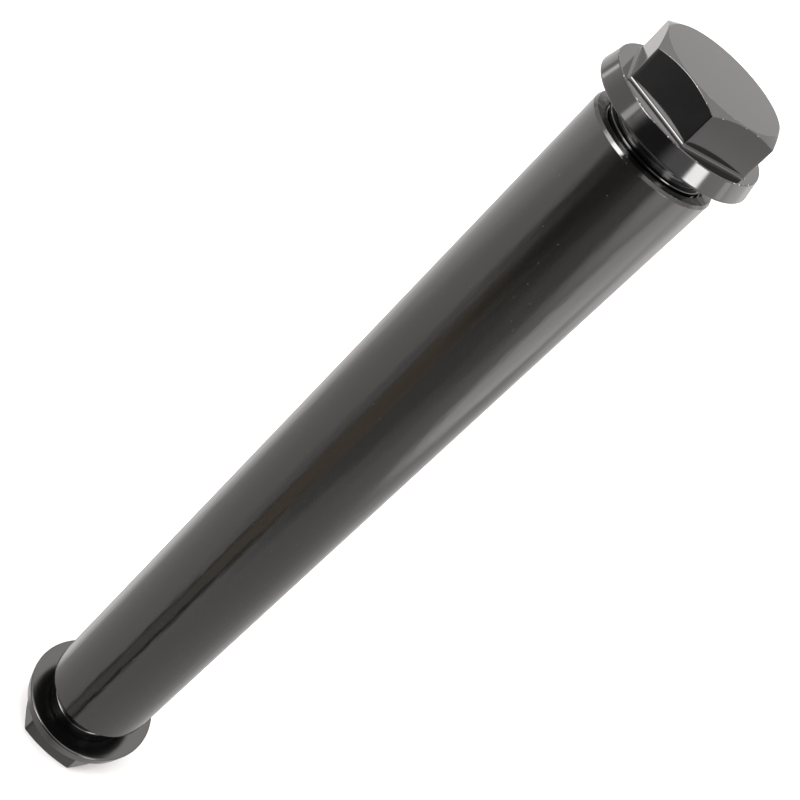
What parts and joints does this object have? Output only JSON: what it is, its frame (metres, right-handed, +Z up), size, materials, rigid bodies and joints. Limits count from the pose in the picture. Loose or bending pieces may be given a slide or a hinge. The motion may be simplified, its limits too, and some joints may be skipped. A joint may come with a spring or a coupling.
{
  "type": "through axle",
  "caption": "Bolt-on through axle for a bicycle fork: a plain black tube with a flanged hex-head bolt screwed part of the way into each end, which carries a front hub between the fork's legs.",
  "frame": {"origin": "middle of the lower bolt's end face, on which the axle stands", "axes": "+Z up the axle, from the lower bolt to the upper bolt; +X and +Y are free, because the axle is round"},
  "size_m": [0.0248, 0.0248, 0.1734],
  "materials": {
    "tube_black": "satin black anodised",
    "bolt_black": "semi-gloss black anodised"
  },
  "bodies": {
    "axle_tube": {"axle_tube": "tube_black"},
    "upper_bolt": {"upper_bolt": "bolt_black"},
    "lower_bolt": {"lower_bolt": "bolt_black"}
  },
  "joints": [
    {"name": "upper_bolt_slide", "type": "slide", "parent": "axle_tube", "child": "upper_bolt", "axis": [0, 0, 1], "range_m": [-0.00325, 0.024]},
    {"name": "lower_bolt_slide", "type": "slide", "parent": "axle_tube", "child": "lower_bolt", "axis": [0, 0, -1], "range_m": [-0.00405, 0.024]}
  ]
}
